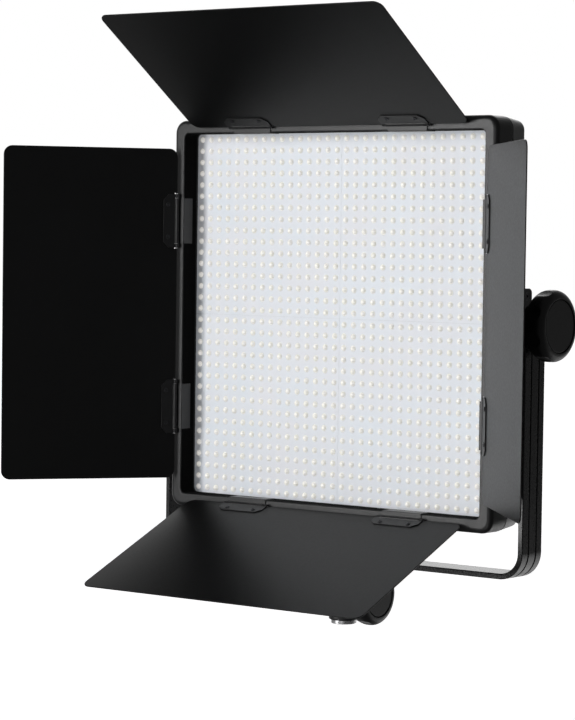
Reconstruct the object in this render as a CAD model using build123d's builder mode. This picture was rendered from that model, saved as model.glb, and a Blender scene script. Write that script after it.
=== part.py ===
"""Studio LED panel light: a square lamp head with four barn doors, tilting in a U-shaped yoke.

Millimetres. +Z is up and the light shines towards -Y. The origin is the mouth of the yoke's
stand socket, on the socket's axis, which is also under the middle of the head.
"""

import os
from math import cos, radians, sin

from build123d import *

# ---- driving dimensions -------------------------------------------------------------------
AXIS_Z = 304.0  # tilt axis above the socket mouth
HEAD = 395.0  # outer width and height of the lamp head
OPENING = 368.0  # clear width and height of the light opening
HEAD_RADIUS = 13.0
FACE_Y = -37.0  # front face of the bezel
PART_LINE_Y = -11.0  # where bezel and rear shell meet
BACK_Y = 17.0  # back face of the rear shell
SHELL_TAPER = 7.0  # draft of the rear shell's sides, degrees
WALL = 2.6

BOARD_Y = -14.5  # front face of the four boards, each a quarter of the 32 by 32 emitters
LENS_THICK = 2.4

YOKE_HALF = 220.5  # outer face of each arm from the middle
YOKE_THICK = 5.5
YOKE_WIDTH = 34.0
YOKE_BOTTOM_Z = 62.5
YOKE_TOP_Z = AXIS_Z + 20.0
YOKE_INNER_BEND = 20.0
PAD_X = 204.7  # outer face of the pivot pads on the head
BOSS_X = 212.2
SPINDLE_RADIUS = 4.0
PIVOT_FIT = 0.06  # radial clearance of turning fits

HINGE_RADIUS = 2.2
HINGE_HALF_SPAN = 190.0  # hinge axes from the middle of the head
HINGE_AHEAD = 3.0  # hinge axes in front of the bezel face
HINGE_PLACES = (-95.0, 95.0)
STRAP_HALF = 23.0
KNUCKLE_END = 27.4
PIN_RADIUS = 1.0
LEAF_WIDTH = 337.0
LEAF_LENGTH = 180.0
LEAF_THICK = 1.2
PLATE_THICK = 1.0
LEAF_SCREWS = [(x + dx, 9.8) for x in HINGE_PLACES for dx in (-16.6, 16.6)]

# degrees from straight ahead at which each leaf stands open, with its outward direction
LEAVES = {
    "top": (34.8, Vector(0, 0, 1)),
    "bottom": (23.8, Vector(0, 0, -1)),
    "left": (35.8, Vector(-1, 0, 0)),
    "right": (44.3, Vector(1, 0, 0)),
}

TILT_KNOB_RADIUS = 34.0
LOCK_KNOB_RADIUS = 30.0
LOCK_Z = 31.3  # axis of the stand lock knob
LOCK_FACE_X = 17.0
SOCKET_RADIUS = 8.1
SOCKET_DEPTH = 45.0

CASE_SCREWS = [(x, z) for x in (-187, 187) for z in (-110, 110)]
CASE_SCREWS += [(x, z) for x in (-110, 110) for z in (-187, 187)]
PAD_SCREWS = [(y, z) for y in (-7.5, 9) for z in (-27, 27)]

CONTROL_Z = -118.0  # middle of the control panel, from the tilt axis
CONTROL_SIZE = (160.0, 86.0)
CONTROL_FACE_Y = BACK_Y + 2.5
DISPLAY_AT = (42.0, CONTROL_Z + 8)
DISPLAY_SIZE = (50.0, 26.0)
DIALS = {"brightness_dial": (-6.0, CONTROL_Z + 20), "channel_dial": (-6.0, CONTROL_Z - 20)}
BUTTONS = {f"button_{k}": (26.0 + 12 * i, CONTROL_Z - 24) for i, k in enumerate("abcd")}
ROCKER_AT = (-46.0, CONTROL_Z + 20)
INLET_AT = (-46.0, CONTROL_Z - 18)
PANEL_SCREWS = [(x, CONTROL_Z + z) for x in (-75, 75) for z in (-38, 38)]

BATTERY_Z = 40.0  # middle of the battery plate, from the tilt axis
BATTERY_FACE_Y = BACK_Y + 10.0
LATCH_Z = BATTERY_Z + 22
RELEASE_Z = BATTERY_Z + 12


def across(y):
    """Plane facing the front at depth y, with X across, Z up and the tilt axis at its origin."""
    return Plane(origin=(0, y, AXIS_Z), x_dir=(1, 0, 0), z_dir=(0, -1, 0))


def side_on(x):
    """Plane facing +X at x, with local X along Y, local Y up and the tilt axis at its origin."""
    return Plane(origin=(x, 0, AXIS_Z), x_dir=(0, 1, 0), z_dir=(1, 0, 0))


def hinge_plane(side, opening):
    """Plane on a leaf's hinge axis: X along the axis, Y out along the leaf, Z to the beam.

    An opening of 90 degrees lays the leaf in the plane of the bezel, 0 stands it straight ahead.
    """
    outward = LEAVES[side][1]
    origin = outward * HINGE_HALF_SPAN + Vector(0, FACE_Y - HINGE_AHEAD, AXIS_Z)
    forward = Vector(0, -1, 0)
    along = outward.cross(forward)
    leaf = forward * cos(radians(opening)) + outward * sin(radians(opening))
    return Plane(origin=origin, x_dir=along, z_dir=along.cross(leaf))


def save(builder, name):
    """Label a finished sub-part and write it out."""
    builder.part.label = name
    export_step(builder.part, f"parts/{name}.step")


os.makedirs("parts", exist_ok=True)

# ---- lamp head: housing -------------------------------------------------------------------
with BuildPart() as front_bezel:
    with BuildSketch(across(PART_LINE_Y)):
        RectangleRounded(HEAD, HEAD, HEAD_RADIUS)
    extrude(amount=PART_LINE_Y - FACE_Y)
    fillet(front_bezel.faces().sort_by(Axis.Y)[0].edges(), 5)
    with BuildSketch(across(PART_LINE_Y)):
        RectangleRounded(OPENING, OPENING, 5)
    extrude(amount=PART_LINE_Y - FACE_Y, mode=Mode.SUBTRACT)
    fillet(front_bezel.faces().sort_by(Axis.Y)[0].inner_wires()[0].edges(), 1.2)
    # the ring-shaped pocket between the outer and the inner wall, open to the back
    with BuildSketch(across(PART_LINE_Y)):
        RectangleRounded(HEAD - 2 * WALL, HEAD - 2 * WALL, HEAD_RADIUS - WALL)
        RectangleRounded(OPENING + 4.4, OPENING + 4.4, 7.2, mode=Mode.SUBTRACT)
    extrude(amount=PART_LINE_Y - FACE_Y - 3.6, mode=Mode.SUBTRACT)
    with BuildSketch(across(PART_LINE_Y)):
        RectangleRounded(OPENING + 6, OPENING + 6, 8)
    extrude(amount=PART_LINE_Y - BOARD_Y, mode=Mode.SUBTRACT)
    # screw bosses in the pocket
    with BuildSketch(across(BOARD_Y)):
        with Locations(*CASE_SCREWS):
            Circle(2.9)
    extrude(amount=BOARD_Y - FACE_Y - 3.6)
    with BuildSketch(across(BOARD_Y)):
        with Locations(*CASE_SCREWS):
            Circle(1.5)
    extrude(amount=12, mode=Mode.SUBTRACT)
save(front_bezel, "front_bezel")

with BuildPart() as rear_shell:
    with BuildSketch(across(PART_LINE_Y)):
        RectangleRounded(HEAD, HEAD, HEAD_RADIUS)
    extrude(amount=PART_LINE_Y - BACK_Y, taper=SHELL_TAPER)
    fillet(rear_shell.faces().sort_by(Axis.Y)[-1].edges(), 4)
    with BuildSketch(across(PART_LINE_Y)):
        RectangleRounded(HEAD - 2 * WALL, HEAD - 2 * WALL, HEAD_RADIUS - WALL)
    extrude(amount=PART_LINE_Y - BACK_Y + WALL, taper=SHELL_TAPER, mode=Mode.SUBTRACT)
    # shadow groove along the part line
    with BuildSketch(across(PART_LINE_Y)):
        Rectangle(HEAD + 10, HEAD + 10)
        RectangleRounded(HEAD - 2.4, HEAD - 2.4, HEAD_RADIUS - 1.2, mode=Mode.SUBTRACT)
    extrude(amount=-1.6, mode=Mode.SUBTRACT)
    # screw posts, and four posts that press on the heat spreader
    with BuildSketch(across(BACK_Y - WALL)):
        with Locations(*CASE_SCREWS):
            Circle(2.9)
    extrude(amount=BACK_Y - WALL - BOARD_Y)
    with BuildSketch(across(BACK_Y - WALL)):
        with GridLocations(176, 300, 2, 2):
            Circle(4)
    extrude(amount=BACK_Y - WALL + 10.4)
    with BuildSketch(across(BACK_Y)):
        with Locations(*CASE_SCREWS):
            Circle(1.6)
    extrude(amount=BACK_Y - BOARD_Y, mode=Mode.SUBTRACT)
    with Locations(Plane(origin=(0, BACK_Y, AXIS_Z), x_dir=(1, 0, 0), z_dir=(0, 1, 0))):
        with Locations(*[(x, -z) for x, z in CASE_SCREWS]):
            CounterSinkHole(radius=1.6, counter_sink_radius=2.9, depth=5)
    # cut-outs for the control panel and for the battery plate's cable and latch
    with BuildSketch(across(BACK_Y)):
        with Locations((0, CONTROL_Z)):
            RectangleRounded(CONTROL_SIZE[0] - 16, CONTROL_SIZE[1] - 16, 4)
        with Locations((0, LATCH_Z)):
            RectangleRounded(18, 14, 2)
        with Locations((0, BATTERY_Z - 32)):
            RectangleRounded(20, 8, 2)
    extrude(amount=WALL + 1, mode=Mode.SUBTRACT)
    # two banks of cooling slots
    with BuildSketch(across(BACK_Y)):
        with Locations((-126, 20), (126, 20)):
            with GridLocations(0, 11, 1, 20):
                SlotOverall(62, 4)
    extrude(amount=WALL + 1, mode=Mode.SUBTRACT)
    # holes in the side walls for the pivot inserts
    with BuildSketch(side_on(-HEAD)):
        Circle(7.2)
    extrude(amount=2 * HEAD, mode=Mode.SUBTRACT)
    with BuildSketch(side_on(-HEAD)):
        with Locations(*PAD_SCREWS):
            Circle(2.1)
    extrude(amount=2 * HEAD, mode=Mode.SUBTRACT)
save(rear_shell, "rear_shell")

with BuildPart() as pivot_pads:
    with BuildSketch(side_on(HEAD / 2 - 5)):
        RectangleRounded(35, 69, 4.5)
    extrude(amount=PAD_X - HEAD / 2 + 5)
    chamfer(pivot_pads.faces().sort_by(Axis.X)[-1].edges(), 0.8)
    with BuildSketch(side_on(PAD_X)):
        Circle(15)
    extrude(amount=BOSS_X - PAD_X)
    with Locations(side_on(PAD_X)):
        with Locations(*PAD_SCREWS):
            CounterSinkHole(radius=2.1, counter_sink_radius=3.9)
    with BuildSketch(side_on(PAD_X)):
        Circle(7)
    extrude(amount=30, both=True, mode=Mode.SUBTRACT)
    mirror(about=Plane.YZ)
    # hollow the inner faces to the bezel and the drafted shell
    with BuildSketch(across(PART_LINE_Y)):
        RectangleRounded(HEAD, HEAD, HEAD_RADIUS)
    extrude(amount=PART_LINE_Y - FACE_Y, mode=Mode.SUBTRACT)
    with BuildSketch(across(PART_LINE_Y)):
        RectangleRounded(HEAD, HEAD, HEAD_RADIUS)
    extrude(amount=PART_LINE_Y - BACK_Y - 1, taper=SHELL_TAPER, mode=Mode.SUBTRACT)
save(pivot_pads, "pivot_pads")

with BuildPart() as pivot_inserts:
    with BuildSketch(side_on(191.5)):
        Circle(7)
        Circle(SPINDLE_RADIUS + PIVOT_FIT, mode=Mode.SUBTRACT)
    extrude(amount=BOSS_X - 0.2 - 191.5)
    mirror(about=Plane.YZ)
save(pivot_inserts, "pivot_inserts")

with BuildPart() as pad_screws:
    with BuildSketch(side_on(PAD_X)):
        with Locations(*PAD_SCREWS):
            Circle(2)
    extrude(amount=-12)
    with BuildSketch(side_on(PAD_X - 0.1)):
        with Locations(*PAD_SCREWS):
            Circle(3.7)
    extrude(amount=-1.6, taper=45)
    with BuildSketch(side_on(PAD_X)):
        with Locations(*PAD_SCREWS):
            RegularPolygon(1.5, 6)
    extrude(amount=-1.4, mode=Mode.SUBTRACT)
    mirror(about=Plane.YZ)
save(pad_screws, "pad_screws")

with BuildPart() as case_screws:
    with BuildSketch(across(BACK_Y)):
        with Locations(*CASE_SCREWS):
            Circle(1.5)
    extrude(amount=BACK_Y - BOARD_Y + 10)
    with BuildSketch(across(BACK_Y - 0.1)):
        with Locations(*CASE_SCREWS):
            Circle(2.8)
    extrude(amount=1.3, taper=45)
    with BuildSketch(across(BACK_Y)):
        with Locations(*CASE_SCREWS):
            Rectangle(3.0, 0.8)
            Rectangle(0.8, 3.0)
    extrude(amount=1.0, mode=Mode.SUBTRACT)
save(case_screws, "case_screws")

# ---- lamp head: light engine --------------------------------------------------------------
BOARD_HALF = OPENING / 2 + 0.9
QUADRANTS = [(x, z) for x in (-1, 1) for z in (-1, 1)]

with BuildPart() as led_boards:
    with BuildSketch(across(BOARD_Y)):
        with Locations(*[(x * BOARD_HALF / 2, z * BOARD_HALF / 2) for x, z in QUADRANTS]):
            Rectangle(BOARD_HALF - 0.2, BOARD_HALF - 0.2)
        with Locations(*CASE_SCREWS):
            Circle(3.2, mode=Mode.SUBTRACT)
    extrude(amount=-1.6)
save(led_boards, "led_boards")

with BuildPart() as led_lens_sheets:
    with BuildSketch(across(BOARD_Y)):
        with Locations(*[(x * OPENING / 4, z * OPENING / 4) for x, z in QUADRANTS]):
            Rectangle(OPENING / 2 - 0.4, OPENING / 2 - 0.4)
        RectangleRounded(OPENING - 1, OPENING - 1, 4.8, mode=Mode.INTERSECT)
    extrude(amount=LENS_THICK)
save(led_lens_sheets, "led_lens_sheets")

with BuildPart() as heat_spreader:
    with BuildSketch(across(BOARD_Y + 1.6)):
        Rectangle(362, 362)
    extrude(amount=-2.5)
    with BuildSketch(across(BOARD_Y + 4.1)):
        with Locations((-136, 0), (136, 0)):
            with GridLocations(11, 0, 8, 1):
                Rectangle(1.6, 330)
    extrude(amount=-8)
save(heat_spreader, "heat_spreader")

with BuildPart() as driver_board:
    with BuildSketch(across(-4.0)):
        with Locations((0, -14)):
            Rectangle(150, 84)
    extrude(amount=-1.6)
    with BuildSketch(across(-4.0)):
        with Locations((0, -14)):
            with GridLocations(138, 72, 2, 2):
                Circle(3)
    extrude(amount=6.4)
    with BuildSketch(across(-2.4)):
        with Locations((-52, -8), (-14, -8), (24, -8)):
            Rectangle(26, 30)
    extrude(amount=-9)
    with BuildSketch(across(-2.4)):
        with Locations((0, -44)):
            with GridLocations(16, 0, 7, 1):
                Circle(5)
    extrude(amount=-11)
save(driver_board, "driver_board")

# ---- lamp head: controls on the back ------------------------------------------------------
with BuildPart() as control_panel:
    with BuildSketch(across(BACK_Y)):
        with Locations((0, CONTROL_Z)):
            RectangleRounded(*CONTROL_SIZE, 6)
        with Locations(DISPLAY_AT):
            Rectangle(DISPLAY_SIZE[0] + 8, DISPLAY_SIZE[1] + 8, mode=Mode.SUBTRACT)
        with Locations(*DIALS.values()):
            Circle(4, mode=Mode.SUBTRACT)
        with Locations(*BUTTONS.values()):
            Circle(4.35, mode=Mode.SUBTRACT)
        with Locations(ROCKER_AT):
            Rectangle(24, 16, mode=Mode.SUBTRACT)
        with Locations(INLET_AT):
            Circle(9.5, mode=Mode.SUBTRACT)
        with Locations(*PANEL_SCREWS):
            Circle(1.6, mode=Mode.SUBTRACT)
    extrude(amount=BACK_Y - CONTROL_FACE_Y)
    chamfer(control_panel.faces().sort_by(Axis.Y)[-1].outer_wire().edges(), 0.6)
save(control_panel, "control_panel")

with BuildPart() as panel_screws:
    with BuildSketch(across(CONTROL_FACE_Y + 1.4)):
        with Locations(*PANEL_SCREWS):
            Circle(2.8)
    extrude(amount=1.4)
    fillet(panel_screws.faces().sort_by(Axis.Y)[-1].edges(), 0.6)
    fillet(panel_screws.faces().filter_by(Plane.XZ).group_by(Axis.Y)[-1].edges(), 0.2)
    with BuildSketch(across(CONTROL_FACE_Y)):
        with Locations(*PANEL_SCREWS):
            Circle(1.5)
    extrude(amount=CONTROL_FACE_Y - BACK_Y)
    with BuildSketch(across(CONTROL_FACE_Y + 1.4)):
        with Locations(*PANEL_SCREWS):
            RegularPolygon(1.2, 6)
    extrude(amount=0.9, mode=Mode.SUBTRACT)
save(panel_screws, "panel_screws")


def make_dial(name, place):
    """Ribbed knob with a shaft that runs in its encoder on the control board."""
    with BuildPart() as dial:
        with BuildSketch(across(CONTROL_FACE_Y + 0.5)):
            with Locations(place):
                Circle(12)
        extrude(amount=-13)
        fillet(dial.faces().sort_by(Axis.Y)[-1].edges(), 1.5)
        with BuildSketch(across(CONTROL_FACE_Y + 2.5)):
            with Locations(place):
                with PolarLocations(12.2, 20):
                    Circle(0.8)
        extrude(amount=-12, mode=Mode.SUBTRACT)
        with BuildSketch(across(CONTROL_FACE_Y + 12.5)):
            with Locations((place[0], place[1] + 7.5)):
                SlotOverall(5, 1.2, rotation=90)
        extrude(amount=-2, mode=Mode.SUBTRACT)
        with BuildSketch(across(CONTROL_FACE_Y + 0.5)):
            with Locations(place):
                Circle(3)
        extrude(amount=CONTROL_FACE_Y + 0.5 - 6)
    save(dial, name)


def make_button(name, place):
    """Push button kept under the panel by its collar."""
    with BuildPart() as button:
        with BuildSketch(across(10.0)):
            with Locations(place):
                Circle(4)
        extrude(amount=-(CONTROL_FACE_Y + 2.2 - 10.0))
        fillet(button.faces().sort_by(Axis.Y)[-1].edges(), 0.8)
        with BuildSketch(across(14.0)):
            with Locations(place):
                Circle(5.2)
        extrude(amount=-1.2)
    save(button, name)


for dial_name, dial_place in DIALS.items():
    make_dial(dial_name, dial_place)
for button_name, button_place in BUTTONS.items():
    make_button(button_name, button_place)

with BuildPart() as control_board:
    with BuildSketch(across(3.0)):
        with Locations((0, CONTROL_Z)):
            Rectangle(140, 66)
        with Locations(ROCKER_AT):
            Rectangle(30, 24, mode=Mode.SUBTRACT)
        with Locations(INLET_AT):
            Circle(12, mode=Mode.SUBTRACT)
    extrude(amount=-1.6)
    # encoders round the dial shafts, and a switch under each button
    with BuildSketch(across(4.6)):
        with Locations(*DIALS.values()):
            Rectangle(13, 13)
    extrude(amount=-7)
    with BuildSketch(across(4.6)):
        with Locations(*BUTTONS.values()):
            Rectangle(6, 6)
    extrude(amount=-3.6)
    with BuildSketch(across(4.6)):
        with Locations(DISPLAY_AT):
            Rectangle(DISPLAY_SIZE[0] + 4, DISPLAY_SIZE[1] + 4)
    extrude(amount=-8)
    with BuildSketch(across(0)):
        with Locations(*DIALS.values()):
            Circle(3 + PIVOT_FIT)
    extrude(amount=-20, mode=Mode.SUBTRACT)
save(control_board, "control_board")

with BuildPart() as display_frame:
    with BuildSketch(across(BACK_Y - 2)):
        with Locations(DISPLAY_AT):
            Rectangle(DISPLAY_SIZE[0] + 8, DISPLAY_SIZE[1] + 8)
    extrude(amount=-(CONTROL_FACE_Y - BACK_Y + 2))
    with BuildSketch(across(CONTROL_FACE_Y)):
        with Locations(DISPLAY_AT):
            RectangleRounded(DISPLAY_SIZE[0] + 14, DISPLAY_SIZE[1] + 14, 3)
    extrude(amount=-1.5, taper=20)
    with BuildSketch(across(BACK_Y - 2)):
        with Locations(DISPLAY_AT):
            Rectangle(*DISPLAY_SIZE)
    extrude(amount=-10, mode=Mode.SUBTRACT)
save(display_frame, "display_frame")

with BuildPart() as display_glass:
    with BuildSketch(across(BACK_Y)):
        with Locations(DISPLAY_AT):
            Rectangle(*DISPLAY_SIZE)
    extrude(amount=-2.6)
save(display_glass, "display_glass")

ROCKER_TIP = 8.0
ROCKER_PIVOT = Vector(ROCKER_AT[0], 17.0, AXIS_Z + ROCKER_AT[1])
TRUNNION_RADIUS = 1.1
TRUNNION_HALF = 7.0
with BuildPart() as rocker_frame:
    with BuildSketch(across(7.0)):
        with Locations(ROCKER_AT):
            Rectangle(24, 16)
    extrude(amount=-(CONTROL_FACE_Y - 7.0))
    with BuildSketch(across(CONTROL_FACE_Y)):
        with Locations(ROCKER_AT):
            RectangleRounded(29, 21, 2)
    extrude(amount=-1.6)
    chamfer(rocker_frame.faces().sort_by(Axis.Y)[-1].outer_wire().edges(), 0.6)
    with BuildSketch(across(9.0)):
        with Locations(ROCKER_AT):
            Rectangle(20.4, 12.6)
    extrude(amount=-20, mode=Mode.SUBTRACT)
    with BuildSketch(Plane.XY.offset(ROCKER_PIVOT.Z)):
        with Locations((ROCKER_PIVOT.X, ROCKER_PIVOT.Y)):
            Circle(TRUNNION_RADIUS + PIVOT_FIT)
    extrude(amount=TRUNNION_HALF + 0.1, both=True, mode=Mode.SUBTRACT)
save(rocker_frame, "rocker_frame")

# the rocker is drawn in its "on" position, tipped about its trunnions, which are upright
with BuildPart() as power_rocker:
    rocker_plane = Plane(
        origin=ROCKER_PIVOT - Vector(0, 0, 6),
        x_dir=(cos(radians(ROCKER_TIP)), sin(radians(ROCKER_TIP)), 0),
        z_dir=(0, 0, 1),
    )
    with BuildSketch(rocker_plane):
        with BuildLine():
            Polyline((-9.2, 4.4), (-8.2, -2), (0, -5.5), (8.2, -2), (9.2, 4.4))
            ThreePointArc((-9.2, 4.4), (0, 3.0), (9.2, 4.4))
        make_face()
    extrude(amount=12)
    with BuildSketch(Plane.XY.offset(ROCKER_PIVOT.Z)):
        with Locations((ROCKER_PIVOT.X, ROCKER_PIVOT.Y)):
            Circle(TRUNNION_RADIUS)
    extrude(amount=TRUNNION_HALF, both=True)
save(power_rocker, "power_rocker")

with BuildPart() as power_inlet:
    with BuildSketch(across(5.0)):
        with Locations(INLET_AT):
            Circle(9.5)
    extrude(amount=-(CONTROL_FACE_Y - 5.0))
    with BuildSketch(across(CONTROL_FACE_Y)):
        with Locations(INLET_AT):
            RectangleRounded(25, 25, 3)
            with GridLocations(19, 19, 2, 2):
                Circle(1.4, mode=Mode.SUBTRACT)
    extrude(amount=-1.8)
    with BuildSketch(across(8.0)):
        with Locations(INLET_AT):
            Circle(7.6)
            with Locations((0, 7.4)):
                Rectangle(3, 2)
    extrude(amount=-20, mode=Mode.SUBTRACT)
    with BuildSketch(across(7.9)):
        with Locations(INLET_AT):
            with PolarLocations(4.2, 4, start_angle=45):
                Circle(0.8)
    extrude(amount=-6)
save(power_inlet, "power_inlet")

# ---- lamp head: battery mount on the back -------------------------------------------------
with BuildPart() as battery_plate:
    with BuildSketch(across(BACK_Y)):
        with Locations((0, BATTERY_Z)):
            RectangleRounded(94, 120, 6)
    extrude(amount=BACK_Y - BATTERY_FACE_Y)
    chamfer(battery_plate.faces().sort_by(Axis.Y)[-1].edges(), 1.5)
    # wedge-shaped recess that the battery's tongue drops into from above
    with BuildSketch(across(BATTERY_FACE_Y - 5)):
        with BuildLine():
            FilletPolyline(
                (-32, BATTERY_Z + 61),
                (-21, BATTERY_Z - 16),
                (21, BATTERY_Z - 16),
                (32, BATTERY_Z + 61),
                radius=5,
            )
            Line((32, BATTERY_Z + 61), (-32, BATTERY_Z + 61))
        make_face()
    extrude(amount=-6, mode=Mode.SUBTRACT)
    with BuildSketch(across(BATTERY_FACE_Y - 4)):
        with Locations((0, BATTERY_Z - 36)):
            RectangleRounded(40, 20, 3)
    extrude(amount=-6, mode=Mode.SUBTRACT)
    with BuildSketch(across(BACK_Y)):
        with Locations((0, LATCH_Z)):
            Rectangle(10.8, 6.8)
        with Locations((0, BATTERY_Z - 36)):
            Rectangle(20, 8)
    extrude(amount=-12, mode=Mode.SUBTRACT)
    # pocket for the release button in the side wall
    with BuildSketch(Plane(origin=(34, 22.5, AXIS_Z + RELEASE_Z), x_dir=(0, 1, 0), z_dir=(1, 0, 0))):
        Rectangle(5.8, 22.8)
    extrude(amount=20, mode=Mode.SUBTRACT)
    with BuildSketch(across(BATTERY_FACE_Y)):
        with Locations((0, BATTERY_Z)):
            with GridLocations(80, 104, 2, 2):
                Circle(1.7)
    extrude(amount=10, mode=Mode.SUBTRACT)
save(battery_plate, "battery_plate")

with BuildPart() as battery_screws:
    with BuildSketch(across(BATTERY_FACE_Y + 1.4)):
        with Locations((0, BATTERY_Z)):
            with GridLocations(80, 104, 2, 2):
                Circle(3)
    extrude(amount=1.4)
    fillet(battery_screws.faces().group_by(Axis.Y)[-1].edges(), 0.6)
    with BuildSketch(across(BATTERY_FACE_Y)):
        with Locations((0, BATTERY_Z)):
            with GridLocations(80, 104, 2, 2):
                Circle(1.6)
    extrude(amount=BATTERY_FACE_Y - BACK_Y)
    with BuildSketch(across(BATTERY_FACE_Y + 1.4)):
        with Locations((0, BATTERY_Z)):
            with GridLocations(80, 104, 2, 2):
                RegularPolygon(1.3, 6)
    extrude(amount=0.9, mode=Mode.SUBTRACT)
save(battery_screws, "battery_screws")

with BuildPart() as battery_contacts:
    with BuildSketch(across(BATTERY_FACE_Y - 4)):
        with Locations((0, BATTERY_Z - 36)):
            RectangleRounded(32, 13, 2)
    extrude(amount=-2.5)
    with BuildSketch(across(BATTERY_FACE_Y - 1.5)):
        with Locations((0, BATTERY_Z - 36)):
            with GridLocations(7.5, 0, 4, 1):
                Rectangle(1.2, 6)
    extrude(amount=-4.5)
    with BuildSketch(across(BATTERY_FACE_Y - 4)):
        with Locations((0, BATTERY_Z - 36)):
            Rectangle(18, 6)
    extrude(amount=6, mode=Mode.ADD)
save(battery_contacts, "battery_contacts")

with BuildPart() as battery_release:
    with BuildSketch(Plane(origin=(38, 22.5, AXIS_Z + RELEASE_Z), x_dir=(0, 1, 0), z_dir=(1, 0, 0))):
        RectangleRounded(5, 22, 1)
    extrude(amount=12.5)
    fillet(battery_release.faces().sort_by(Axis.X)[-1].edges(), 0.8)
save(battery_release, "battery_release")

with BuildPart() as battery_latch:
    with BuildSketch(Plane(origin=(-5, 0, AXIS_Z + LATCH_Z), x_dir=(0, 1, 0), z_dir=(1, 0, 0))):
        with BuildLine():
            Polyline((16, -3), (24.5, -3), (25, -1), (22.6, 3), (16, 3), (16, -3))
        make_face()
    extrude(amount=10)
save(battery_latch, "battery_latch")

# ---- barn doors ---------------------------------------------------------------------------
def section(plane, start):
    """Plane across a hinge axis at start: X out along the leaf, Y to the plane's own Z."""
    origin = plane.origin + plane.x_dir * start
    return Plane(origin=origin, x_dir=plane.y_dir, z_dir=plane.x_dir)


with BuildPart() as hinge_straps:
    for side in LEAVES:
        for place in HINGE_PLACES:
            strap_end = section(hinge_plane(side, 90), place - STRAP_HALF)
            with BuildSketch(strap_end):
                Circle(HINGE_RADIUS)
                with BuildLine():
                    Polyline((2, -3), (-6, -3), (-6, -16), (-7, -16), (-7, -2.8))
                    RadiusArc((-7, -2.8), (-6.2, -2), 0.8)
                    Polyline((-6.2, -2), (2, -2), (2, -3))
                make_face()
                Circle(PIN_RADIUS, mode=Mode.SUBTRACT)
            extrude(amount=2 * STRAP_HALF)
save(hinge_straps, "hinge_straps")

with BuildPart() as hinge_pins:
    for side in LEAVES:
        for place in HINGE_PLACES:
            with BuildSketch(section(hinge_plane(side, 90), place - KNUCKLE_END - 0.5)):
                Circle(PIN_RADIUS)
            extrude(amount=2 * KNUCKLE_END + 1)
save(hinge_pins, "hinge_pins")


def make_leaf(side):
    """One barn door: the sheet, its two hinge plates with end knuckles, and their screws."""
    plane = hinge_plane(side, LEAVES[side][0])
    with BuildPart() as leaf:
        with BuildSketch(plane.offset(-LEAF_THICK / 2)):
            with Locations((0, LEAF_LENGTH / 2)):
                RectangleRounded(LEAF_WIDTH, LEAF_LENGTH, 9)
            with Locations(*[(place, 0) for place in HINGE_PLACES]):
                Rectangle(2 * KNUCKLE_END + 2, 5.6, mode=Mode.SUBTRACT)
            with Locations(*LEAF_SCREWS):
                Circle(1.3, mode=Mode.SUBTRACT)
        extrude(amount=LEAF_THICK)
        chamfer(leaf.faces().filter_by(plane).edges().filter_by(GeomType.LINE), 0.2)
    save(leaf, f"leaf_{side}")

    with BuildPart() as plates:
        with BuildSketch(plane.offset(LEAF_THICK / 2)):
            for place in HINGE_PLACES:
                with BuildLine():
                    Polyline(
                        (place - KNUCKLE_END, 2.6),
                        (place - KNUCKLE_END, 9),
                        (place - 21.5, 14.5),
                        (place + 21.5, 14.5),
                        (place + KNUCKLE_END, 9),
                        (place + KNUCKLE_END, 2.6),
                        close=True,
                    )
                make_face()
            with Locations(*LEAF_SCREWS):
                Circle(1.3, mode=Mode.SUBTRACT)
        extrude(amount=PLATE_THICK)
        for place in HINGE_PLACES:
            for start in (place - KNUCKLE_END, place + STRAP_HALF + 0.4):
                with BuildSketch(section(plane, start)):
                    Circle(HINGE_RADIUS)
                    with Locations((1.5, LEAF_THICK / 2 + PLATE_THICK / 2)):
                        Rectangle(3, PLATE_THICK)
                    Circle(PIN_RADIUS + PIVOT_FIT, mode=Mode.SUBTRACT)
                extrude(amount=KNUCKLE_END - STRAP_HALF - 0.4)
    save(plates, f"hinge_plates_{side}")

    inner = plane.offset(LEAF_THICK / 2 + PLATE_THICK)
    with BuildPart() as screws:
        with BuildSketch(inner):
            with Locations(*LEAF_SCREWS):
                Circle(2.3)
        extrude(amount=0.7)
        with BuildSketch(inner):
            with Locations(*LEAF_SCREWS):
                Circle(1.2)
        extrude(amount=-PLATE_THICK - LEAF_THICK)
        with BuildSketch(plane.offset(-LEAF_THICK / 2)):
            with Locations(*LEAF_SCREWS):
                Circle(2)
        extrude(amount=-0.6)
        with BuildSketch(inner.offset(0.7)):
            with Locations(*LEAF_SCREWS):
                RegularPolygon(1.1, 6)
        extrude(amount=-0.5, mode=Mode.SUBTRACT)
    save(screws, f"leaf_screws_{side}")


for leaf_side in LEAVES:
    make_leaf(leaf_side)

# ---- yoke and stand socket ----------------------------------------------------------------
BAR_TOP_Z = YOKE_BOTTOM_Z + YOKE_THICK
YOKE_INNER_HALF = YOKE_HALF - YOKE_THICK
BOLT_RADIUS = 5.0

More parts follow.
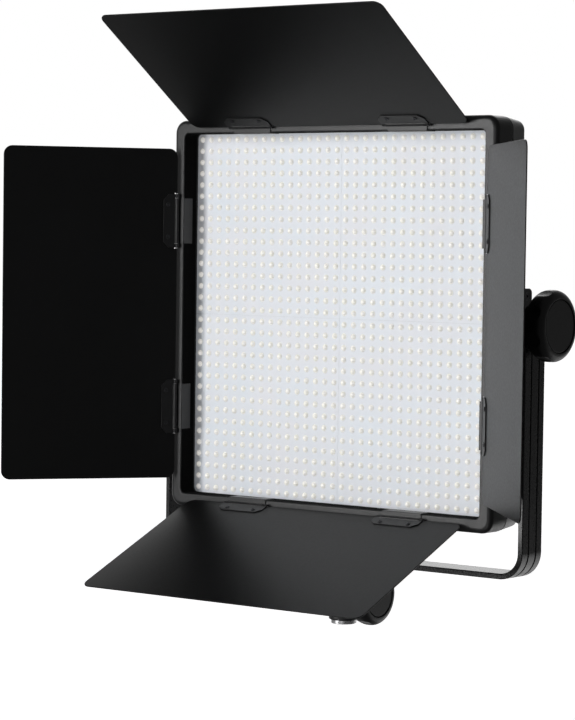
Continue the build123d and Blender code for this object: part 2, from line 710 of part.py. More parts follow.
with BuildPart() as yoke:
    with BuildSketch(Plane.XZ):
        with BuildLine():
            FilletPolyline(
                (-YOKE_HALF, YOKE_TOP_Z),
                (-YOKE_HALF, YOKE_BOTTOM_Z),
                (YOKE_HALF, YOKE_BOTTOM_Z),
                (YOKE_HALF, YOKE_TOP_Z),
                radius=YOKE_INNER_BEND + YOKE_THICK,
            )
            Line((YOKE_HALF, YOKE_TOP_Z), (YOKE_INNER_HALF, YOKE_TOP_Z))
            FilletPolyline(
                (YOKE_INNER_HALF, YOKE_TOP_Z),
                (YOKE_INNER_HALF, BAR_TOP_Z),
                (-YOKE_INNER_HALF, BAR_TOP_Z),
                (-YOKE_INNER_HALF, YOKE_TOP_Z),
                radius=YOKE_INNER_BEND,
            )
            Line((-YOKE_INNER_HALF, YOKE_TOP_Z), (-YOKE_HALF, YOKE_TOP_Z))
        make_face()
    extrude(amount=YOKE_WIDTH / 2, both=True)
    fillet(yoke.edges().filter_by(Axis.X).group_by(Axis.Z)[-1], 15.5)
    chamfer(yoke.faces().filter_by(Plane.XZ).edges(), 0.7)
    # two grooves run along the outside of the whole bar
    for groove_y in (-6.5, 6.5):
        with BuildSketch(Plane.XZ.offset(-groove_y)):
            with BuildLine():
                FilletPolyline(
                    (-YOKE_HALF, YOKE_TOP_Z + 1),
                    (-YOKE_HALF, YOKE_BOTTOM_Z),
                    (YOKE_HALF, YOKE_BOTTOM_Z),
                    (YOKE_HALF, YOKE_TOP_Z + 1),
                    radius=YOKE_INNER_BEND + YOKE_THICK,
                )
                offset(amount=0.8, side=Side.BOTH)
            make_face()
        extrude(amount=1.3, both=True, mode=Mode.SUBTRACT)
    with BuildSketch(side_on(-YOKE_HALF - 1)):
        Circle(SPINDLE_RADIUS + 0.4)
    extrude(amount=2 * YOKE_HALF + 2, mode=Mode.SUBTRACT)
    with Locations(Plane.XY.offset(BAR_TOP_Z)):
        CounterSinkHole(radius=BOLT_RADIUS + 0.2, counter_sink_radius=9)
save(yoke, "yoke")

with BuildPart() as friction_washers:
    with BuildSketch(side_on(YOKE_INNER_HALF)):
        Circle(15)
        Circle(SPINDLE_RADIUS + 0.5, mode=Mode.SUBTRACT)
    extrude(amount=-(YOKE_INNER_HALF - BOSS_X - 0.35))
    mirror(about=Plane.YZ)
save(friction_washers, "friction_washers")

with BuildPart() as stand_adapter:
    with BuildSketch(Plane.XY.offset(4)):
        Circle(15)
    extrude(amount=YOKE_BOTTOM_Z - 4)
    with BuildSketch(Plane.XY.offset(YOKE_BOTTOM_Z)):
        RectangleRounded(34, 34, 7)
    extrude(amount=-9)
    fillet(stand_adapter.edges().filter_by(GeomType.CIRCLE).group_by(Axis.Z)[0], 1)
    with BuildSketch(Plane(origin=(0, 0, LOCK_Z), x_dir=(0, 1, 0), z_dir=(1, 0, 0))):
        Circle(11.5)
    extrude(amount=LOCK_FACE_X)
    with BuildSketch(Plane.XY):
        Circle(11)
    extrude(amount=SOCKET_DEPTH + 2, mode=Mode.SUBTRACT)
    with BuildSketch(Plane(origin=(0, 0, LOCK_Z), x_dir=(0, 1, 0), z_dir=(1, 0, 0))):
        Circle(SPINDLE_RADIUS + PIVOT_FIT)
    extrude(amount=LOCK_FACE_X + 1, mode=Mode.SUBTRACT)
    with BuildSketch(Plane.XY.offset(YOKE_BOTTOM_Z)):
        Circle(BOLT_RADIUS)
    extrude(amount=-20, mode=Mode.SUBTRACT)
save(stand_adapter, "stand_adapter")

with BuildPart() as socket_liner:
    with BuildSketch(Plane.XY):
        Circle(11)
    extrude(amount=SOCKET_DEPTH + 2)
    with BuildSketch(Plane.XY):
        Circle(13)
    extrude(amount=4)
    chamfer(socket_liner.edges().filter_by(GeomType.CIRCLE).group_by(SortBy.RADIUS)[-1], 0.5)
    with BuildSketch(Plane.XY):
        Circle(SOCKET_RADIUS)
    extrude(amount=SOCKET_DEPTH, mode=Mode.SUBTRACT)
    with BuildSketch(Plane(origin=(0, 0, LOCK_Z), x_dir=(0, 1, 0), z_dir=(1, 0, 0))):
        Circle(SPINDLE_RADIUS + PIVOT_FIT)
    extrude(amount=LOCK_FACE_X, mode=Mode.SUBTRACT)
save(socket_liner, "socket_liner")

with BuildPart() as adapter_bolt:
    with BuildSketch(Plane.XY.offset(BAR_TOP_Z)):
        Circle(BOLT_RADIUS)
    extrude(amount=-YOKE_THICK - 14)
    with BuildSketch(Plane.XY.offset(BAR_TOP_Z - 0.1)):
        Circle(8.8)
    extrude(amount=-3.7, taper=45)
    with BuildSketch(Plane.XY.offset(BAR_TOP_Z)):
        RegularPolygon(3.4, 6)
    extrude(amount=-3.5, mode=Mode.SUBTRACT)
save(adapter_bolt, "adapter_bolt")


# ---- clamping knobs -----------------------------------------------------------------------
def make_knob(name, radius, seat, direction, reach):
    """Lobed knob, cover disc, threaded spindle and washer, clamping towards seat.

    Heights are measured from the seat along direction, +1 or -1 times X. The spindle
    reaches that far behind the seat.
    """
    outward = Vector(direction, 0, 0)
    side_plane = Plane(origin=seat, x_dir=(0, 0, 1), z_dir=(0, direction, 0))
    seat_plane = Plane(origin=seat, x_dir=(0, 1, 0), z_dir=outward)

    with BuildPart() as knob:
        with BuildSketch(side_plane):
            with BuildLine():
                Polyline((0, 18), (SPINDLE_RADIUS, 18), (SPINDLE_RADIUS, 2.1), (radius - 14, 2.1))
                ThreePointArc((radius - 14, 2.1), (radius - 4, 6), (radius, 14.5))
                Line((radius, 14.5), (radius, 19.5))
                ThreePointArc((radius, 19.5), (radius - 2.1, 24.6), (radius - 7.4, 27))
                Polyline((radius - 7.4, 27), (radius - 8.2, 27), (radius - 8.2, 24), (0, 24), (0, 18))
            make_face()
        revolve(axis=Axis(seat, outward))
        # shallow finger scallops round the rim
        with BuildSketch(seat_plane):
            with PolarLocations(radius + 24.6, 8, start_angle=22.5):
                Circle(26)
        extrude(amount=30, mode=Mode.SUBTRACT)
    save(knob, name)

    with BuildPart() as cover:
        with BuildSketch(seat_plane.offset(24)):
            Circle(radius - 9)
        extrude(amount=2.6)
        chamfer(cover.faces().sort_by(Axis(seat, outward))[-1].edges(), 0.6)
    save(cover, f"{name}_cover")

    with BuildPart() as spindle:
        with BuildSketch(seat_plane.offset(18)):
            Circle(SPINDLE_RADIUS)
        extrude(amount=-18 - reach)
        chamfer(spindle.faces().sort_by(Axis(seat, outward))[0].edges(), 0.6)
    save(spindle, f"{name}_spindle")

    with BuildPart() as washer:
        with BuildSketch(seat_plane.offset(0.3)):
            Circle(12)
            Circle(SPINDLE_RADIUS + 0.3, mode=Mode.SUBTRACT)
        extrude(amount=1.5)
    save(washer, f"{name}_washer")


make_knob("tilt_knob_right", TILT_KNOB_RADIUS, Vector(YOKE_HALF, 0, AXIS_Z), 1, 27)
make_knob("tilt_knob_left", TILT_KNOB_RADIUS, Vector(-YOKE_HALF, 0, AXIS_Z), -1, 27)
make_knob(
    "lock_knob",
    LOCK_KNOB_RADIUS,
    Vector(LOCK_FACE_X, 0, LOCK_Z),
    1,
    LOCK_FACE_X - SOCKET_RADIUS - 0.1,
)
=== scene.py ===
"""Looks of the square studio panel light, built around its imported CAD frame. Everything is in metres."""

import math
import random

import bpy
from mathutils import Matrix, Vector


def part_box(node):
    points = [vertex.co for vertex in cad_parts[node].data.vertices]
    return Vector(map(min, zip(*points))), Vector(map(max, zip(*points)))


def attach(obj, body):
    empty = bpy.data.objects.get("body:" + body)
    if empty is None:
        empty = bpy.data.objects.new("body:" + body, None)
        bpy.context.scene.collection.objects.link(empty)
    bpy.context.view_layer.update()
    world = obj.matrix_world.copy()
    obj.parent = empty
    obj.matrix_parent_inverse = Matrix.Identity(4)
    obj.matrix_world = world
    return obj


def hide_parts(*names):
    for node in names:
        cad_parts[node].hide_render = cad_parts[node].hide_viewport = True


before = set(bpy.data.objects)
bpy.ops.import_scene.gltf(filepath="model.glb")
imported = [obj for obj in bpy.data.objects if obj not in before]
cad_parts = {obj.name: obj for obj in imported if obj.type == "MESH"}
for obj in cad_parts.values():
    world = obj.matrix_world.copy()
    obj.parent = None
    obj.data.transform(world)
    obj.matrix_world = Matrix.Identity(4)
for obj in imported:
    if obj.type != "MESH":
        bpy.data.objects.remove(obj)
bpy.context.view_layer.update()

random.seed(32)
MM = 0.001


# ---------------------------------------------------------------- sizes read from the frame

LENS_LOW, LENS_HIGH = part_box("led_lens_sheets")
BEZEL_LOW, BEZEL_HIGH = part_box("front_bezel")
PANEL_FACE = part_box("control_panel")[1].y
HEAD_CENTRE = (BEZEL_LOW + BEZEL_HIGH) / 2


# ---------------------------------------------------------------- driving sizes of the added pieces

LAMPS_PER_SIDE = 32
OPENING_HALF = 184 * MM
OPENING_RADIUS = 5 * MM
LAMP_PITCH = 11.5 * MM
LAMP_RADIUS = 2.9 * MM
LAMP_SIDES = 14
LAMP_COLLAR = 0.45 * MM
LAMP_LEAN = 0.02  # typical lean of a lamp, sideways for its height

SHADE_SHEET_THICK = 0.3 * MM

INK_THICK = 0.06 * MM
TICKS = 11
TICK_DEGREES = 30
TICK_NEAR = 13.1 * MM
TICK_FAR = 14.4 * MM
LONG_TICK_FAR = 15.4 * MM
TICK_WIDE = 0.5 * MM
POINTER_NEAR, POINTER_FAR, POINTER_WIDE = 5.2 * MM, 9.8 * MM, 1.0 * MM
POINTER_SUNK = 0.95 * MM  # from the dial's face down to the underside of its pointer
POINTER_THICK = 0.7 * MM
DOT_RADIUS = 0.6 * MM
DOT_RISE = 7.2 * MM  # from the middle of a button up to its dot
DOT_SIDES = 12

SIDES = ("top", "bottom", "left", "right")
TILT_KNOBS = ("tilt_knob_right", "tilt_knob_left")
KNOBS = (*TILT_KNOBS, "lock_knob")
DIALS = ("brightness_dial", "channel_dial")
BUTTONS = tuple(f"button_{letter}" for letter in "abcd")


def middle_of(node):
    """The middle of a node's box."""
    low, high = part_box(node)
    return (low + high) / 2


# ---------------------------------------------------------------- camera and studio

LENS_MM = 135
CAMERA_DISTANCE = 2.671
CAMERA_AZIMUTH, CAMERA_ELEVATION = math.radians(36.70), math.radians(1.776)
CAMERA_HEADING = math.radians(37.77)
CAMERA_PITCH = math.radians(-2.665)
CAMERA_ROLL = math.radians(0.79)
FLOOR_DROP = 1.25
FLOOR_REACH = 40.0
BEHIND_LIGHT = (-0.61, 0.79, 0.0)
WORLD_DIM, WORLD_BRIGHT = 0.10, 1.1


def make_camera():
    """A long lens to the right of the light, level with its head, tilted a little down."""
    data = bpy.data.cameras.new("camera")
    data.lens = LENS_MM
    camera = bpy.data.objects.new("camera", data)
    bpy.context.scene.collection.objects.link(camera)
    lamp_plane = Vector((0, LENS_LOW.y + 0.7 * MM, HEAD_CENTRE.z))
    level = CAMERA_DISTANCE * math.cos(CAMERA_ELEVATION)
    away = Vector((level * math.sin(CAMERA_AZIMUTH), -level * math.cos(CAMERA_AZIMUTH),
                   CAMERA_DISTANCE * math.sin(CAMERA_ELEVATION)))
    turn = (Matrix.Rotation(CAMERA_HEADING, 4, "Z")
            @ Matrix.Rotation(math.pi / 2 + CAMERA_PITCH, 4, "X")
            @ Matrix.Rotation(CAMERA_ROLL, 4, "Z"))
    camera.matrix_world = Matrix.Translation(lamp_plane + away) @ turn
    bpy.context.scene.camera = camera


def make_softbox(name, place, size, power):
    """A rectangular soft light that points at the head and isn't seen itself."""
    data = bpy.data.lights.new(name, "AREA")
    data.shape = "RECTANGLE"
    data.size, data.size_y = size
    data.energy = power
    light = bpy.data.objects.new(name, data)
    bpy.context.scene.collection.objects.link(light)
    aim = (HEAD_CENTRE - Vector(place)).to_track_quat("-Z", "Y")
    light.matrix_world = Matrix.Translation(place) @ aim.to_matrix().to_4x4()
    light.visible_camera = False


def make_world():
    """A white studio: bright behind the light, dim beside it, and plain white where seen directly."""
    world = bpy.data.worlds.new("studio")
    world.use_nodes = True
    tree = world.node_tree
    tree.nodes.clear()
    toward = tree.nodes.new("ShaderNodeTexCoord")
    behind = tree.nodes.new("ShaderNodeVectorMath")
    behind.operation = "DOT_PRODUCT"
    behind.inputs[1].default_value = BEHIND_LIGHT
    glow = tree.nodes.new("ShaderNodeMapRange")
    glow.interpolation_type = "SMOOTHSTEP"
    glow.inputs["From Min"].default_value = 0.55
    glow.inputs["From Max"].default_value = 0.95
    glow.inputs["To Min"].default_value = WORLD_DIM
    glow.inputs["To Max"].default_value = WORLD_BRIGHT
    seen = tree.nodes.new("ShaderNodeLightPath")
    strength = tree.nodes.new("ShaderNodeMix")
    strength.inputs["B"].default_value = 1.0
    background = tree.nodes.new("ShaderNodeBackground")
    background.inputs["Color"].default_value = (1, 1, 1, 1)
    output = tree.nodes.new("ShaderNodeOutputWorld")
    tree.links.new(toward.outputs["Generated"], behind.inputs[0])
    tree.links.new(behind.outputs["Value"], glow.inputs["Value"])
    tree.links.new(seen.outputs["Is Camera Ray"], strength.inputs["Factor"])
    tree.links.new(glow.outputs["Result"], strength.inputs["A"])
    tree.links.new(strength.outputs["Result"], background.inputs["Strength"])
    tree.links.new(background.outputs["Background"], output.inputs["Surface"])
    bpy.context.scene.world = world


def make_floor():
    """A wide pale floor under the stand, well below the light."""
    data = bpy.data.meshes.new("floor")
    corners = [(-FLOOR_REACH, -FLOOR_REACH), (FLOOR_REACH, -FLOOR_REACH),
               (FLOOR_REACH, FLOOR_REACH), (-FLOOR_REACH, FLOOR_REACH)]
    data.from_pydata([(x, y, -FLOOR_DROP) for x, y in corners], [], [(0, 1, 2, 3)])
    floor = bpy.data.objects.new("floor", data)
    bpy.context.scene.collection.objects.link(floor)
    recipe = Recipe("pale_floor", tone=(0.88, 0.88, 0.88), roughness=0.6)
    recipe.shader.inputs["Emission Color"].default_value = (1, 1, 1, 1)
    recipe.shader.inputs["Emission Strength"].default_value = 0.85
    cloudy = recipe.noise(0.8, detail=2)
    recipe.colour(cloudy, (0.86, 0.86, 0.86), (0.9, 0.9, 0.9))
    data.materials.append(recipe.material)
    floor.visible_diffuse = False
    floor.visible_glossy = False


# ---------------------------------------------------------------- materials

class Recipe:
    """One procedural material: a Principled shader with its textures in the part's own metres."""

    def __init__(self, name, tone, roughness, metallic=0.0, specular=0.5, coat=0.0, coat_roughness=0.1):
        self.material = bpy.data.materials.new(name)
        self.material.use_nodes = True
        self.tree = self.material.node_tree
        self.shader = self.tree.nodes["Principled BSDF"]
        self.shader.inputs["Base Color"].default_value = (*tone, 1)
        self.shader.inputs["Roughness"].default_value = roughness
        self.shader.inputs["Metallic"].default_value = metallic
        self.shader.inputs["Specular IOR Level"].default_value = specular
        self.shader.inputs["Coat Weight"].default_value = coat
        self.shader.inputs["Coat Roughness"].default_value = coat_roughness
        self.place = self.node("ShaderNodeTexCoord").outputs["Object"]
        self.height = None

    def node(self, kind, **settings):
        made = self.tree.nodes.new(kind)
        for key, value in settings.items():
            setattr(made, key, value)
        return made

    def feed(self, socket, value):
        if isinstance(value, bpy.types.NodeSocket):
            self.tree.links.new(value, socket)
        else:
            socket.default_value = value

    def scaled(self, stretch):
        """The place, stretched along X, Y and Z."""
        mapping = self.node("ShaderNodeMapping")
        self.feed(mapping.inputs["Vector"], self.place)
        mapping.inputs["Scale"].default_value = stretch
        return mapping.outputs["Vector"]

    def noise(self, scale, detail=3.0, rough=0.55, stretch=(1, 1, 1)):
        """Cloudy noise with this many waves to the metre."""
        made = self.node("ShaderNodeTexNoise")
        self.feed(made.inputs["Vector"], self.scaled(stretch))
        made.inputs["Scale"].default_value = scale
        made.inputs["Detail"].default_value = detail
        made.inputs["Roughness"].default_value = rough
        return made.outputs["Fac"]

    def cells(self, scale, feature="F1", stretch=(1, 1, 1)):
        """Distance from the middles of random cells."""
        made = self.node("ShaderNodeTexVoronoi", feature=feature)
        self.feed(made.inputs["Vector"], self.scaled(stretch))
        made.inputs["Scale"].default_value = scale
        return made.outputs["Distance"]

    def rings(self, scale, axis, centre):
        """Turning marks: rings about one axis."""
        shift = self.node("ShaderNodeMapping")
        self.feed(shift.inputs["Vector"], self.place)
        shift.inputs["Location"].default_value = tuple(-c for c in centre)
        made = self.node("ShaderNodeTexWave", wave_type="RINGS", rings_direction=axis)
        self.feed(made.inputs["Vector"], shift.outputs["Vector"])
        made.inputs["Scale"].default_value = scale
        made.inputs["Distortion"].default_value = 0.6
        made.inputs["Detail"].default_value = 2.0
        return made.outputs["Fac"]

    def math(self, operation, first, second=0.0):
        made = self.node("ShaderNodeMath", operation=operation)
        self.feed(made.inputs[0], first)
        self.feed(made.inputs[1], second)
        return made.outputs["Value"]

    def spread(self, value, low, high, to_low=0.0, to_high=1.0):
        """The value's span from low to high, mapped to another span."""
        made = self.node("ShaderNodeMapRange")
        self.feed(made.inputs["Value"], value)
        names = ("From Min", "From Max", "To Min", "To Max")
        for name, number in zip(names, (low, high, to_low, to_high)):
            made.inputs[name].default_value = number
        return made.outputs["Result"]

    def blend(self, factor, first, second):
        """A colour from first to second."""
        made = self.node("ShaderNodeMix", data_type="RGBA")
        self.feed(made.inputs["Factor"], factor)
        for socket, colour in ((made.inputs["A"], first), (made.inputs["B"], second)):
            self.feed(socket, (*colour, 1) if isinstance(colour, tuple) else colour)
        return made.outputs["Result"]

    def edges(self, width):
        """1 near a sharp edge and 0 away from it."""
        round_off = self.node("ShaderNodeBevel", samples=6)
        round_off.inputs["Radius"].default_value = width
        flat = self.node("ShaderNodeNewGeometry")
        alike = self.node("ShaderNodeVectorMath", operation="DOT_PRODUCT")
        self.feed(alike.inputs[0], round_off.outputs["Normal"])
        self.feed(alike.inputs[1], flat.outputs["Normal"])
        return self.spread(alike.outputs["Value"], 0.98, 0.75)

    def colour(self, factor, first, second):
        mixed = self.blend(factor, first, second)
        self.feed(self.shader.inputs["Base Color"], mixed)
        return mixed

    def gloss(self, value, low, high, smooth, rough):
        """Roughness that follows a texture."""
        self.feed(self.shader.inputs["Roughness"], self.spread(value, low, high, smooth, rough))

    def relief(self, height, depth, soften=0.0):
        """Adds a bump of this depth in metres, and eases sharp edges over the soften width."""
        bump = self.node("ShaderNodeBump")
        bump.inputs["Distance"].default_value = depth
        self.feed(bump.inputs["Height"], height)
        if self.height is not None:
            self.feed(bump.inputs["Normal"], self.height)
        elif soften:
            round_off = self.node("ShaderNodeBevel", samples=6)
            round_off.inputs["Radius"].default_value = soften
            self.feed(bump.inputs["Normal"], round_off.outputs["Normal"])
        self.height = bump.outputs["Normal"]
        self.feed(self.shader.inputs["Normal"], self.height)


def shade(tone, factor, lift=0.0):
    """The tone made darker or lighter by a factor, then lifted, and never past white."""
    return tuple(min(1, factor * c + lift) for c in tone)


def powder_coat(name, tone, roughness, specular, grain=1500, depth=0.015 * MM, soften=0.3 * MM):
    """Baked black coating on sheet metal: fine orange peel, cloudy tone, edges rubbed a little."""
    recipe = Recipe(name, tone, roughness, specular=specular)
    cloud = recipe.noise(11, detail=4)
    speck = recipe.noise(grain, detail=2)
    rub = recipe.edges(0.6 * MM)
    worn = recipe.math("MULTIPLY", rub, recipe.spread(recipe.noise(240), 0.5, 0.75))
    body = recipe.blend(recipe.spread(cloud, 0.3, 0.7), shade(tone, 0.85), shade(tone, 1.15))
    peppered = recipe.blend(recipe.spread(speck, 0.45, 0.8), body, shade(tone, 1.35, 0.0003))
    recipe.colour(recipe.math("MULTIPLY", worn, 0.1), peppered, (0.16, 0.16, 0.165))
    recipe.gloss(recipe.noise(420, detail=4), 0.3, 0.7, roughness - 0.03, roughness + 0.04)
    recipe.relief(speck, depth, soften)
    return recipe.material


def moulded(name, tone, roughness, specular=0.5, grain=1700, depth=0.06 * MM, soften=0.6 * MM):
    """Injection-moulded plastic with a spark-eroded grain, faint flow marks and handled edges."""
    recipe = Recipe(name, tone, roughness, specular=specular)
    pits = recipe.cells(grain, "SMOOTH_F1")
    flow = recipe.noise(14, detail=3, stretch=(1, 1, 2.5))
    dust = recipe.spread(recipe.noise(900, detail=1), 0.66, 0.8, 0, 0.25)
    body = recipe.blend(recipe.spread(flow, 0.3, 0.7), shade(tone, 0.82), shade(tone, 1.2))
    dusty = recipe.blend(dust, body, shade(tone, 2.0, 0.003))
    handled = recipe.edges(0.8 * MM)
    rubbed = recipe.math("MULTIPLY", handled, recipe.spread(recipe.noise(180), 0.4, 0.75, 0, 0.5))
    recipe.colour(rubbed, dusty, shade(tone, 2.5, 0.006))
    recipe.gloss(recipe.noise(300, detail=4), 0.3, 0.7, roughness - 0.04, roughness + 0.05)
    recipe.relief(pits, depth, soften)
    return recipe.material


def painted_shade_felt(name, tone):
    """Matt black surface with a short, tangled nap, used as painted shade on the light opening's walls."""
    recipe = Recipe(name, tone, 0.95, specular=0.05)
    nap = recipe.noise(2600, detail=4, rough=0.7)
    lint = recipe.spread(recipe.noise(700, detail=2), 0.68, 0.8, 0, 0.5)
    body = recipe.blend(recipe.spread(nap, 0.35, 0.7), shade(tone, 0.6), shade(tone, 1.5))
    recipe.colour(lint, body, shade(tone, 2.5, 0.002))
    recipe.relief(nap, 0.15 * MM)
    return recipe.material


def brushed(name, tone, roughness, stretch=(1, 40, 40), scale=60):
    """Bare drawn or rolled metal, with fine lines along one way."""
    recipe = Recipe(name, tone, roughness, metallic=1.0)
    lines = recipe.noise(scale, detail=6, rough=0.7, stretch=stretch)
    stain = recipe.noise(35, detail=3)
    body = recipe.blend(recipe.spread(lines, 0.3, 0.7), shade(tone, 0.8), tone)
    recipe.colour(recipe.spread(stain, 0.55, 0.8, 0, 0.4), body, shade(tone, 0.6))
    recipe.gloss(lines, 0.3, 0.7, roughness - 0.07, roughness + 0.1)
    recipe.relief(lines, 0.02 * MM, 0.2 * MM)
    return recipe.material


def turned(name, tone, roughness, axis, centre=(0, 0, 0)):
    """Lathe-turned metal with rings about its axis."""
    recipe = Recipe(name, tone, roughness, metallic=1.0)
    rings = recipe.rings(420, axis, centre)
    stain = recipe.noise(120, detail=3)
    recipe.colour(recipe.spread(stain, 0.35, 0.75), tone, shade(tone, 0.7))
    recipe.gloss(rings, 0, 1, roughness - 0.05, roughness + 0.1)
    recipe.relief(rings, 0.015 * MM, 0.2 * MM)
    return recipe.material


def lamp_offset(recipe):
    """How far a point is from the middle of its lamp, in lamp radii, over the whole grid."""
    parts = recipe.node("ShaderNodeSeparateXYZ")
    recipe.feed(parts.inputs["Vector"], recipe.place)
    squares = []
    for output, middle in (("X", 0.0), ("Z", HEAD_CENTRE.z)):
        away = recipe.math("SUBTRACT", parts.outputs[output], middle)
        step = recipe.math("MULTIPLY", away, 1 / LAMP_PITCH)
        inside = recipe.math("SUBTRACT", recipe.math("FRACT", step), 0.5)
        squares.append(recipe.math("MULTIPLY", inside, inside))
    distance = recipe.math("SQRT", recipe.math("ADD", *squares))
    return recipe.math("MULTIPLY", distance, LAMP_PITCH / LAMP_RADIUS)


def lamp_board():
    """White solder mask, cool in patches, with painted shade in a ring round each lamp and a faint painted
    glow standing in for scattered light.
    """
    recipe = Recipe("board_white", (0.86, 0.88, 0.92), 0.42)
    distance = lamp_offset(recipe)
    patch = recipe.noise(22, detail=3)
    field = recipe.blend(recipe.spread(patch, 0.35, 0.65), (0.80, 0.85, 0.91), (0.85, 0.865, 0.91))
    # painted shade: the board darkens in a ring round each lamp, where the domes shade it
    recipe.colour(recipe.spread(distance, 1.45, 1.0, 0, 0.35), field, (0.62, 0.62, 0.6))
    recipe.gloss(patch, 0.3, 0.7, 0.38, 0.5)
    recipe.relief(recipe.noise(1300, detail=2), 0.02 * MM)
    # painted light: a faint glow on the board, which is no lamp
    recipe.shader.inputs["Emission Color"].default_value = (0.9, 0.95, 1.0, 1)
    recipe.shader.inputs["Emission Strength"].default_value = 0.03
    return recipe.material


def lamp_lens():
    """Milky domes of varied tint, warmer in the middle; the glow stands in for scattered light."""
    recipe = Recipe("lens_white", (0.93, 0.92, 0.88), 0.22, coat=0.3, coat_roughness=0.2)
    cell = recipe.node("ShaderNodeVectorMath", operation="SNAP")
    recipe.feed(cell.inputs[0], recipe.place)
    cell.inputs[1].default_value = (LAMP_PITCH, 1.0, LAMP_PITCH)
    tint = recipe.node("ShaderNodeTexWhiteNoise", noise_dimensions="3D")
    recipe.feed(tint.inputs["Vector"], cell.outputs["Vector"])
    hue = recipe.blend(tint.outputs["Value"], (0.74, 0.725, 0.67), (0.74, 0.72, 0.70))
    distance = lamp_offset(recipe)
    colour = recipe.colour(recipe.spread(distance, 0.6, 0.15, 0, 0.4), hue, (0.76, 0.74, 0.66))
    recipe.gloss(recipe.noise(700, detail=2), 0.3, 0.7, 0.16, 0.3)
    recipe.relief(recipe.noise(900, detail=2), 0.02 * MM)
    recipe.feed(recipe.shader.inputs["Emission Color"], colour)
    recipe.shader.inputs["Emission Strength"].default_value = 0.46
    return recipe.material


def circuit_board(name):
    """Green board with copper tracks under the mask and a few pale solder points."""
    recipe = Recipe(name, (0.02, 0.13, 0.06), 0.35)
    tracks = recipe.node("ShaderNodeTexBrick")
    recipe.feed(tracks.inputs["Vector"], recipe.place)
    tracks.inputs["Scale"].default_value = 160
    tracks.inputs["Mortar Size"].default_value = 0.03
    solder = recipe.spread(recipe.cells(260), 0.16, 0.12)
    mask = recipe.blend(tracks.outputs["Fac"], (0.015, 0.11, 0.05), (0.05, 0.22, 0.10))
    recipe.colour(solder, mask, (0.6, 0.6, 0.6))
    recipe.gloss(recipe.noise(200), 0.3, 0.7, 0.28, 0.42)
    recipe.relief(tracks.outputs["Fac"], 0.03 * MM)
    return recipe.material


def display_face():
    """Dark display window with a faint cell pattern under its glossy front."""
    recipe = Recipe("display", (0.02, 0.026, 0.024), 0.08, coat=1.0, coat_roughness=0.03)
    parts = recipe.node("ShaderNodeTexBrick")
    recipe.feed(parts.inputs["Vector"], recipe.scaled((1, 0, 1)))
    parts.inputs["Scale"].default_value = 300
    smear = recipe.noise(60, detail=5)
    recipe.colour(parts.outputs["Fac"], (0.018, 0.024, 0.022), (0.03, 0.036, 0.033))
    recipe.gloss(smear, 0.35, 0.7, 0.05, 0.2)
    recipe.relief(smear, 0.01 * MM)
    return recipe.material


def rubbery(name, tone, roughness=0.75):
    """Soft moulded rubber with a matte bloom."""
    recipe = Recipe(name, tone, roughness, specular=0.35)
    bloom = recipe.noise(160, detail=5)
    recipe.colour(recipe.spread(bloom, 0.4, 0.75), tone, shade(tone, 1.6, 0.01))
    recipe.gloss(bloom, 0.3, 0.7, roughness - 0.08, roughness + 0.1)
    recipe.relief(recipe.noise(2200, detail=2), 0.04 * MM, 0.3 * MM)
    return recipe.material


def dress(material, *nodes):
    """Gives carried-over CAD nodes this material."""
    for name in nodes:
        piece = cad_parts[name]
        if not piece.material_slots:
            piece.data.materials.append(material)
        for place in piece.material_slots:
            place.material = material


def dress_coated_parts():
    """Housings, yoke, leaves and knobs."""
    dress(moulded("housing_black", (0.0075, 0.0077, 0.0081), 0.35, specular=0.42),
          "front_bezel", "rear_shell", "pivot_pads", "power_inlet", "rocker_frame", "display_frame",
          "battery_plate", "control_panel")
    dress(powder_coat("yoke_black", (0.006, 0.006, 0.0065), 0.28, specular=0.45, depth=0.003 * MM),
          "yoke")
    dress(powder_coat("adapter_black", (0.008, 0.008, 0.0085), 0.4, specular=0.5), "stand_adapter")
    dress(powder_coat("leaf_black", (0.0035, 0.0036, 0.0038), 0.34, specular=0.25),
          *[f"leaf_{side}" for side in SIDES])
    dress(powder_coat("hinge_black", (0.007, 0.007, 0.0075), 0.34, specular=0.4, grain=2200),
          "hinge_straps", *[f"hinge_plates_{side}" for side in SIDES])
    dress(moulded("knob_black", (0.008, 0.008, 0.0085), 0.42, specular=0.4, grain=2100),
          *KNOBS, *DIALS)
    cover_tone = (0.007, 0.007, 0.0075)
    dress(moulded("knob_cover_black", cover_tone, 0.36, specular=0.4, grain=2600, depth=0.03 * MM),
          *[name + "_cover" for name in KNOBS])


def dress_metal_parts():
    """Spindles, washers, pins, screws, the socket liner and the brass inserts."""
    tilt_axis = (0, 0, HEAD_CENTRE.z)
    dress(turned("steel_tilt", (0.62, 0.62, 0.63), 0.3, "X", tilt_axis),
          *[name + part for name in TILT_KNOBS for part in ("_spindle", "_washer")])
    dress(turned("steel_lock", (0.62, 0.62, 0.63), 0.3, "X", (0, 0, middle_of("lock_knob").z)),
          "lock_knob_spindle", "lock_knob_washer")
    dress(brushed("steel_pins", (0.5, 0.5, 0.51), 0.32), "hinge_pins")
    dress(brushed("black_steel", (0.07, 0.07, 0.075), 0.36, scale=400, stretch=(1, 1, 6)),
          "case_screws", "pad_screws", "panel_screws", "battery_screws", "adapter_bolt",
          *[f"leaf_screws_{side}" for side in SIDES])
    dress(turned("socket_steel", (0.8, 0.8, 0.81), 0.2, "Z"), "socket_liner")
    dress(turned("brass", (0.72, 0.56, 0.28), 0.3, "X", tilt_axis), "pivot_inserts")
    dress(rubbery("rubber", (0.02, 0.02, 0.02)), "friction_washers")


def dress_electrics():
    """Boards, display, buttons and contacts."""
    dress(lamp_board(), "led_boards")
    dress(brushed("aluminium", (0.7, 0.71, 0.73), 0.4, stretch=(1, 1, 30)), "heat_spreader")
    dress(circuit_board("board_green"), "driver_board", "control_board")
    dress(display_face(), "display_glass")
    dress(rubbery("button_grey", (0.10, 0.10, 0.105), 0.6), *BUTTONS)
    dress(moulded("release_red", (0.45, 0.02, 0.02), 0.4), "battery_release", "power_rocker")
    dress(moulded("contact_black", (0.03, 0.03, 0.03), 0.4), "battery_contacts", "battery_latch")


